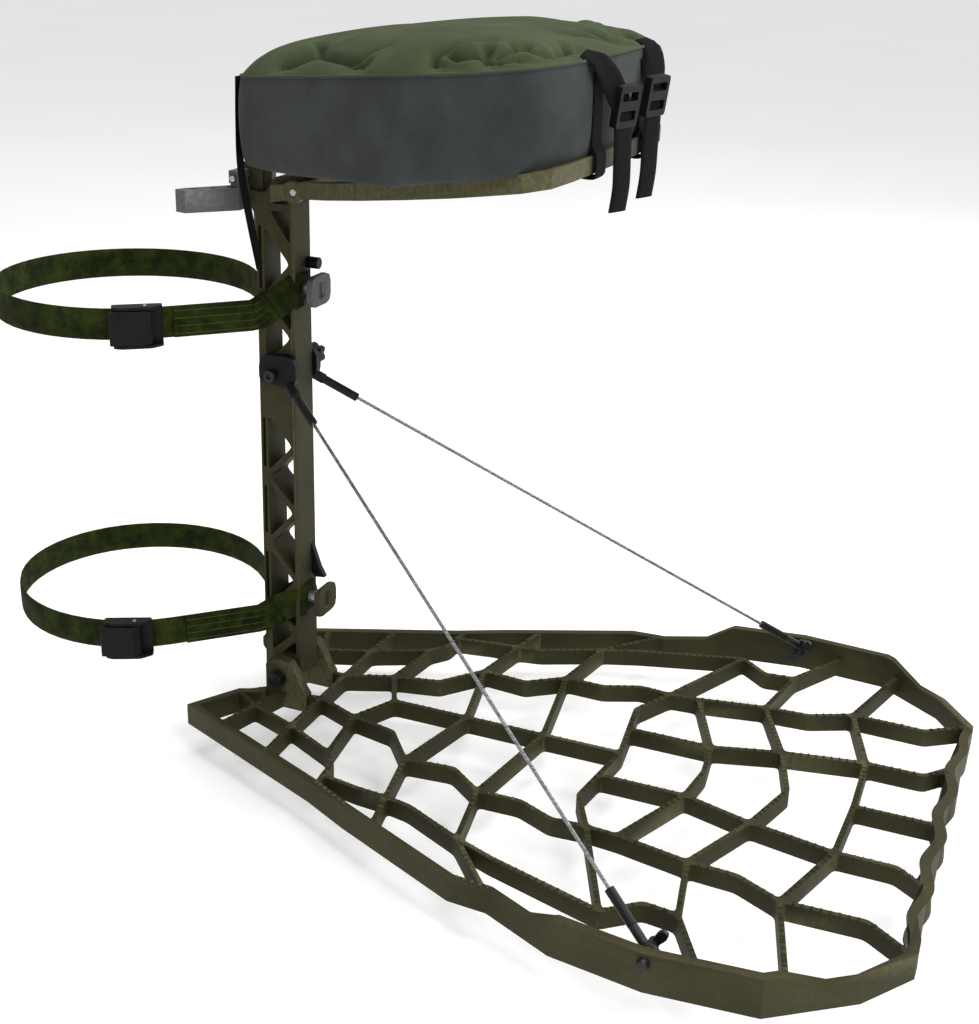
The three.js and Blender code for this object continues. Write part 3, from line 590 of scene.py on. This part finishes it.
def strand(top, along, start, stop, phase):
    """The corners and faces of one strand, which winds round the rope's line."""
    first = along.orthogonal().normalized()
    second = along.cross(first)
    rings = int((stop - start) / ROPE_LAY * RINGS_PER_TURN)
    points = []
    for i in range(rings + 1):
        run = start + (stop - start) * i / rings
        turn = 2 * math.pi * (run / ROPE_LAY + phase)
        out = first * math.cos(turn) + second * math.sin(turn)
        around = second * math.cos(turn) - first * math.sin(turn)
        centre = top + along * run + out * ROPE_RING
        heading = (along + around * (2 * math.pi * ROPE_RING / ROPE_LAY)).normalized()
        across = heading.cross(out)
        for j in range(STRAND_SIDES):
            angle = 2 * math.pi * j / STRAND_SIDES
            points.append(centre + (out * math.cos(angle) + across * math.sin(angle)) * ROPE_STRAND)
    faces = tube_faces(rings + 1, STRAND_SIDES, False)
    faces.append(tuple(range(STRAND_SIDES)))
    faces.append(tuple(rings * STRAND_SIDES + j for j in range(STRAND_SIDES))[::-1])
    return points, faces


def wire_rope(side, sign):
    """Six strands laid together, from the clamp's fitting to the eye on the platform."""
    top = Vector((CABLE_TOP[0] * sign, *CABLE_TOP[1:]))
    end = Vector((CABLE_END[0] * sign, *CABLE_END[1:]))
    along = (end - top).normalized()
    node = f"cable_{side}"
    reach = [(v.co - top).dot(along) for v in frame["nodes"][node].data.vertices]
    start, stop = min(reach), max(reach)
    corners, faces = [], []
    for k in range(STRANDS):
        points, skin = strand(top, along, start, stop, k / STRANDS)
        faces += [tuple(len(corners) + i for i in face) for face in skin]
        corners += points
    rope = new_object(node + "_rope", mesh_of(node + "_rope", corners, faces), ROPE)
    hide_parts(node)
    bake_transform(rope)


# ---- cushion ----
# Sewn channels of the cushion's top, as lines of (x, y) in millimetres.
CHANNELS = [
    [(-57, -112), (-73, -122), (-88, -129), (-100, -150), (-116, -179)],
    [(-88, -129), (-89, -112), (-87, -96)],
    [(-116, -179), (-117, -168), (-124, -175)],
    [(-100, -150), (-104, -166), (-100, -186)],
    [(-146, -257), (-141, -247), (-136, -239), (-126, -236), (-112, -244), (-92, -262)],
    [(-129, -268), (-132, -256), (-126, -246)],
    [(-131, -304), (-136, -292), (-136, -279), (-124, -272), (-112, -268)],
    [(-118, -297), (-127, -285), (-128, -272)],
    [(-91, -286), (-105, -285), (-120, -278)],
    [(-92, -318), (-96, -313), (-115, -306)],
    [(-96, -280), (-100, -296), (-92, -308)],
    [(-57, -303), (-66, -309), (-77, -306), (-84, -309)],
    [(-72, -312), (-60, -316), (-50, -312)],
    [(20, -312), (8, -296), (-8, -285)],
    [(38, -316), (30, -302), (34, -288)],
    [(57, -112), (73, -124), (88, -129), (100, -150), (116, -179)],
    [(116, -179), (118, -169), (126, -176)],
    [(146, -257), (137, -243), (126, -236), (112, -244), (92, -262)],
    [(133, -304), (132, -290), (124, -279), (112, -272)],
    [(92, -286), (105, -285), (120, -278)],
    [(57, -303), (66, -309), (78, -306)],
]


CUSHION_MIDDLE = Vector((0, -0.19, 0))
BASE_RINGS = (0.75, 0.5, 0.3, 0.15, 0.08, 0.04)
SIDE_ROWS, TOP_ROWS = 18, 44
FIRST_SIDE_ROW = len(BASE_RINGS)
SEAM_ROW = FIRST_SIDE_ROW + SIDE_ROWS
CHANNEL_DEEP, CHANNEL_REACH, CHANNEL_HELD = 0.0075, 0.013, 0.0022
# The third crease number is how far from a channel the painted shade, with the stitched thread line, reaches.
CREASE_DEEP, CREASE_REACH, CREASE_SHADE_REACH = 0.0048, 0.0055, 0.0042
SIDE_BULGE, SIDE_FOLD = 0.0022, 0.0012
FILL_FRAMES, FILL_LIMIT = 14, 0.006


def outline_points(step):
    """Points along the cushion's plan: curved, but nearly straight along its rear."""
    half = [Vector((x * MM, y * MM, 0)) for x, y in CUSHION_HALF]
    loop = half + [Vector((-p.x, p.y, 0)) for p in half[-2:0:-1]]
    count = len(loop)
    points = []
    for i in range(count):
        a, b, c, d = (loop[(i + k) % count] for k in (-1, 0, 1, 2))
        pieces = max(1, round((c - b).length / step))
        at_rear = all(abs(p.y + 0.046) < 0.012 for p in (b, c))
        for k in range(pieces):
            straight = b.lerp(c, k / pieces)
            points.append(straight.lerp(bend(a, b, c, d, k / pieces), 0.0 if at_rear else 0.8))
    return points


def under(y):
    """The height of the cushion's base: about level at the rear, then on the frame's rising band."""
    level = CUSHION_UNDER + 0.002 - 0.006 * between(y, -0.19, -0.09)
    return max(level, BAND_UNDER + BAND_SLOPE * (BAND_START - y) + BAND_HIGH + 0.0004)


def sag(y):
    """The cushion's overhanging edge sinks this far below the frame's top."""
    return 0.0035 * between(-y, 0.25, 0.30)


def over_mast(x, y):
    """The lowest that the cover may lie at the rear, where the mast's head has its room."""
    beside = between(-abs(x), -0.029, -0.021)
    behind = between(y, -0.082, -0.072)
    return CUSHION_UNDER - 0.006 + 0.027 * beside * behind


def seam(y):
    return SEAM + SEAM_SLOPE * (BAND_START - y)


def crown(y):
    """How far the middle of the top stands over the seam: less towards the front."""
    return 0.023 - 0.009 * eased(between(-y, 0.22, 0.32))


def dome(start, place):
    """The top's height, which rises fast from the seam and is nearly level in the middle."""
    share = min(1, (start - place).length / 0.05)
    return seam(place.y) + crown(place.y) * (1 - (1 - share) ** 2.3)


def channel_tree():
    """Points close together along every sewn channel."""
    spots = []
    for line in CHANNELS:
        for a, b in zip(line, line[1:]):
            start, stop = Vector((*a, 0)) * MM, Vector((*b, 0)) * MM
            count = int((stop - start).length / 0.0004) + 1
            spots += [start.lerp(stop, i / count) for i in range(count + 1)]
    tree = KDTree(len(spots))
    for i, spot in enumerate(spots):
        tree.insert(spot, i)
    tree.balance()
    return tree


def ring(outline, inwards, height):
    """The outline drawn in towards the middle. height(start, place) gives each point's z."""
    row = []
    for start in outline:
        place = start.lerp(CUSHION_MIDDLE, inwards)
        row.append(Vector((place.x, place.y, height(start, place))))
    return row


def cushion_rows(outline):
    """Rings from under the middle, out along the base, up the side and in over the top."""
    rows = []
    for inwards in BASE_RINGS:
        hang = max(0, 1 - inwards / 0.09)
        rows.append(ring(outline, inwards, lambda start, place: under(place.y) - sag(place.y) * hang))
    for i in range(SIDE_ROWS + 1):
        share = i / SIDE_ROWS
        tuck = 0.016 * max(0, 1 - share / 0.12) ** 2 + (0.003 if i == SIDE_ROWS else 0.0)

        def side(start, place):
            return (under(place.y) - sag(place.y)) * (1 - share) + seam(place.y) * share

        rows.append(ring(outline, tuck, side))
    for i in range(1, TOP_ROWS):
        rows.append(ring(outline, (i / TOP_ROWS) ** 1.15, dome))
    return rows


def cushion_mesh(rows):
    """The rows' skin, with a pole under the middle and one on top as its last two corners."""
    count = len(rows[0])
    corners = [c for row in rows for c in row]
    faces = []
    for r in range(len(rows) - 1):
        a, b = r * count, (r + 1) * count
        faces += [(a + j, b + j, b + (j + 1) % count, a + (j + 1) % count) for j in range(count)]
    x, y = CUSHION_MIDDLE.xy
    low_pole = len(corners)
    top_pole = low_pole + 1
    corners += [Vector((x, y, under(y))), Vector((x, y, seam(y) + crown(y)))]
    last = (len(rows) - 1) * count
    faces += [(low_pole, j, (j + 1) % count) for j in range(count)]
    faces += [(top_pole, last + (j + 1) % count, last + j) for j in range(count)]
    mesh = mesh_of("cushion_padded", corners, faces)
    shape = bmesh.new()
    shape.from_mesh(mesh)
    bmesh.ops.recalc_face_normals(shape, faces=shape.faces)
    shape.to_mesh(mesh)
    shape.free()
    return mesh


def shape_cover(pad, channels, count):
    """Presses the channels in and bulges the sides. The seam, base and channels are held for the filling."""
    held = pad.vertex_groups.new(name="held")
    low_pole = len(pad.data.vertices) - 2
    for v in pad.data.vertices:
        row = v.index // count
        place = v.co
        if row <= FIRST_SIDE_ROW or v.index == low_pole or row == SEAM_ROW:
            held.add([v.index], 1.0, "REPLACE")
        elif row > SEAM_ROW:
            away = channels.find((place.x, place.y, 0))[2]
            if away < CHANNEL_HELD:
                held.add([v.index], 1.0, "REPLACE")
            if away < CHANNEL_REACH:
                pressed = place.z - CHANNEL_DEEP * (1 - away / CHANNEL_REACH) ** 1.6
                place.z = max(pressed, seam(place.y) + 0.001)
        else:
            swell = math.sin(math.pi * (row - FIRST_SIDE_ROW) / SIDE_ROWS)
            out = (place - CUSHION_MIDDLE).to_2d().normalized()
            fold = noise(Vector((place.x * 24, place.y * 24, place.z * 55)))
            place.x += out.x * (SIDE_BULGE + SIDE_FOLD * fold) * swell
            place.y += out.y * (SIDE_BULGE + SIDE_FOLD * fold) * swell


def fill_with_pressure(pad):
    """Blows the cover up between what is held. No point moves further than the limit."""
    rest = [v.co.copy() for v in pad.data.vertices]
    cloth = pad.modifiers.new("fill", "CLOTH")
    settings = cloth.settings
    settings.quality = 4
    settings.mass = 0.3
    settings.tension_stiffness = 12
    settings.compression_stiffness = 8
    settings.shear_stiffness = 4
    settings.bending_stiffness = 0.15
    settings.use_pressure = True
    settings.uniform_pressure_force = 5
    settings.vertex_group_mass = "held"
    settings.effector_weights.gravity = 0
    cloth.collision_settings.use_collision = False
    cloth.collision_settings.use_self_collision = False
    for frame_number in range(1, FILL_FRAMES + 1):
        SCENE.frame_set(frame_number)
    applied(pad)
    SCENE.frame_set(1)
    for v, start in zip(pad.data.vertices, rest):
        move = v.co - start
        if move.length > FILL_LIMIT:
            v.co = start + move * (FILL_LIMIT / move.length)


def crease_cover(pad, channels):
    """Makes the channels' bottoms sharp, marks them for painted shade with the stitched thread line, and
    keeps the rear clear of what it flips past.
    """
    crease_shade_and_thread = pad.data.attributes.new("crease_shade_and_thread", "FLOAT", "POINT")
    for v in pad.data.vertices:
        v.co.y = min(v.co.y, CUSHION_REAR)
        v.co.z = max(v.co.z, over_mast(v.co.x, v.co.y))
        if v.co.z > seam(v.co.y) + 0.004:
            away = channels.find((v.co.x, v.co.y, 0))[2]
            if away < CREASE_REACH:
                pressed = v.co.z - CREASE_DEEP * (1 - away / CREASE_REACH)
                v.co.z = max(pressed, seam(v.co.y) + 0.0008)
            # Painted shade in the channel's bottom, with the stitched thread line.
            crease_shade_and_thread.data[v.index].value = max(0, 1 - away / CREASE_SHADE_REACH)


def seat_cushion():
    channels = channel_tree()
    outline = outline_points(0.0042)
    pad = new_object("cushion_padded", cushion_mesh(cushion_rows(outline)), CLOTH)
    shape_cover(pad, channels, len(outline))
    fill_with_pressure(pad)
    finer = pad.modifiers.new("finer", "SUBSURF")
    finer.levels = 1
    applied(pad)
    crease_cover(pad, channels)
    pad.data.shade_smooth()
    stands_for(pad, "seat_cushion")

    edge = ring(outline, 0.003, lambda start, place: seam(start.y))
    welt = round_cord("cushion_seam", edge, 0.0013, CLOTH)
    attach(welt, "seat_body")


# ---- black straps ----
# In millimetres, with x out from the middle: from the seam past the buckle to the loose end, and the leg that
# hooks under the frame's front bar.
LOOSE_END = [
    (66, -319, 574), (64, -328, 570), (57, -334, 560), (45, -337.5, 547), (38, -339.5, 537),
    (36, -341, 520), (34, -341, 498), (33, -341, 480), (33, -339, 462),
]
HOOKED_LEG = [
    (54, -327.4, 562), (54, -327.6, 530), (54, -328, 512), (54, -331.2, 506), (54, -331.6, 496),
    (54, -330.5, 489.4), (54, -322, 488.8),
]
SEAT_STRAP_HALF, SEAT_STRAP_THICK = 0.011, 0.0016
BUCKLE_TURN = -16  # degrees about an upright line, as the loose ends lie


def seat_straps():
    for side, sign in SIDES:
        node = f"seat_strap_{side}"
        loose = smooth_path([(sign * x * MM, y * MM, z * MM) for x, y, z in LOOSE_END])
        leg = smooth_path([(sign * x * MM, y * MM, z * MM) for x, y, z in HOOKED_LEG], 0.002)
        strap = ribbon(node + "_woven", loose, Vector((0.96, -0.28, 0)), SEAT_STRAP_HALF,
                       SEAT_STRAP_THICK, BLACK_WEB)
        second = ribbon(node + "_leg", leg, Vector((1, 0, 0)), SEAT_STRAP_HALF, SEAT_STRAP_THICK, BLACK_WEB)
        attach(second, "seat_body")
        stands_for(strap, node)


def seat_buckles():
    """The ladder-lock buckles are turned to lie on their straps."""
    for side, _ in SIDES:
        node = f"seat_buckle_{side}"
        buckle = cast_piece(node, 0.0007, 2)
        low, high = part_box(node)
        centre = (low + high) / 2 - Vector((0, 0.005, 0))
        turn = Matrix.Rotation(math.radians(BUCKLE_TURN), 4, "Z")
        buckle.data.transform(Matrix.Translation(centre) @ turn @ Matrix.Translation(-centre))


def rear_strap():
    path = smooth_path([(-0.0615, -0.0440, 0.540), (-0.0625, -0.0436, 0.505), (-0.062, -0.0438, 0.472),
                        (-0.045, -0.040, 0.430), (-0.0245, -0.036, 0.386)])
    strap = ribbon("seat_rear_strap_woven", path, Vector((1, 0, 0.1)), 0.005, 0.0014, BLACK_WEB)
    stands_for(strap, "seat_rear_strap")


# ---- build ----
# Each row: the pieces, their rounded edges' width, and the steps in it.
CAST_PIECES = (
    (["mast", "seat_frame", "tree_bracket", "bracket_post", "bracket_spine"], 0.0009, 2),
    (["upper_button_cap", "lower_button_cap"], 0.0016, 3),
    (["cable_clamp_near", "cable_clamp_far", "star_knob"], 0.0011, 3),
    (["upper_buckle_frame", "upper_buckle_lever", "lower_buckle_frame", "lower_buckle_lever"], 0.0007, 2),
    (["upper_keeper", "lower_keeper"], 0.0007, 2),
    (["hinge_bolt", "hinge_nut", "clamp_bolt", "clamp_nut", "lug_bolt_near", "lug_bolt_far"], 0.0005, 2),
    (["hinge_spacer_near", "hinge_spacer_far"], 0.0003, 2),
    (["bracket_pin", "seat_pivot_pin", "upper_button_neck", "lower_button_neck"], 0.0004, 2),
    (["upper_buckle_pin", "lower_buckle_pin"], 0.0003, 2),
)
for pieces, bevel_width, bevel_steps in CAST_PIECES:
    for piece in pieces:
        cast_piece(piece, bevel_width, bevel_steps)
for side, sign in SIDES:
    cast_piece(f"cable_lug_{side}", 0.0005, 2, BLACK_STEEL)
    cast_piece(f"wing_nut_{side}", 0.0005, 2, BLACK_STEEL)
    cast_piece(f"hinge_washer_{side}", 0.0003, 2, BLACK_STEEL)
    cast_piece(f"upper_sleeve_{side}", 0.0005, 2, SLEEVE)
    cast_piece(f"lower_sleeve_{side}", 0.0005, 2, SLEEVE)
    wire_rope(side, sign)
cast_piece("platform", 0.0007, 2, reshape=wavy_front)
platform_teeth()
for which in BUTTONS:
    trunk_strap(which)
    sewn_end(which)
seat_cushion()
seat_buckles()
seat_straps()
rear_strap()


# ---- floor, light and camera ----
FLOOR_HALF = 60
LIGHTS = (
    # name, place, size, power in watts
    ("key", (-1.2, -2.2, 2.0), 1.4, 34),
    ("top", (0.3, -0.5, 2.6), 1.8, 44),
    ("rim", (1.9, -1.6, 1.1), 1.0, 16),
)
LIT_PLACE = Vector((0, -0.25, 0.25))
CAMERA_PLACE = (-1.1076, -0.6741, 0.6750)
CAMERA_AZIMUTH, CAMERA_ELEVATION, CAMERA_ROLL = -68.33, 21.85, 1.76  # degrees
SENSOR_WIDTH, FOCAL_LENGTH = 36, 54.46  # millimetres


def pale_floor():
    corners = [(x * FLOOR_HALF, y * FLOOR_HALF, FLOOR) for x, y in ((-1, -1), (1, -1), (1, 1), (-1, 1))]
    look = Look("pale_floor", 0.9, specular=0.1)
    look.shader.inputs["Emission Color"].default_value = (1, 1, 1, 1)
    look.shader.inputs["Emission Strength"].default_value = 0.22
    shade = look.ramp(look.noise(1.5, 2), [(0.3, (0.88, 0.88, 0.88)), (0.7, (0.91, 0.91, 0.91))])
    floor_mesh = mesh_of("floor", corners, [(0, 1, 2, 3)], smooth=False)
    new_object("floor", floor_mesh, look.colour(shade))


def studio_light():
    world = bpy.data.worlds.new("studio")
    world.use_nodes = True
    background = world.node_tree.nodes["Background"]
    background.inputs["Color"].default_value = (1, 1, 1, 1)
    background.inputs["Strength"].default_value = 0.6
    SCENE.world = world
    for name, place, size, power in LIGHTS:
        light = bpy.data.lights.new(name, "AREA")
        light.size = size
        light.energy = power
        lamp = bpy.data.objects.new(name, light)
        lamp.location = place
        lamp.rotation_mode = "QUATERNION"
        lamp.rotation_quaternion = (LIT_PLACE - Vector(place)).to_track_quat("-Z", "Y")
        SCENE.collection.objects.link(lamp)


def camera():
    azimuth, elevation = math.radians(CAMERA_AZIMUTH), math.radians(CAMERA_ELEVATION)
    roll = math.radians(CAMERA_ROLL)
    back = Vector((math.sin(azimuth) * math.cos(elevation), -math.cos(azimuth) * math.cos(elevation),
                   math.sin(elevation)))
    level = Vector((math.cos(azimuth), math.sin(azimuth), 0))
    upright = back.cross(level)
    right = level * math.cos(roll) + upright * math.sin(roll)
    up = upright * math.cos(roll) - level * math.sin(roll)
    lens = bpy.data.cameras.new("camera")
    lens.sensor_width = SENSOR_WIDTH
    lens.lens = FOCAL_LENGTH
    eye = bpy.data.objects.new("camera", lens)
    eye.matrix_world = Matrix.Translation(CAMERA_PLACE) @ Matrix((right, up, back)).transposed().to_4x4()
    SCENE.collection.objects.link(eye)
    SCENE.camera = eye


pale_floor()
studio_light()
camera()
SCENE.view_settings.view_transform = "Standard"
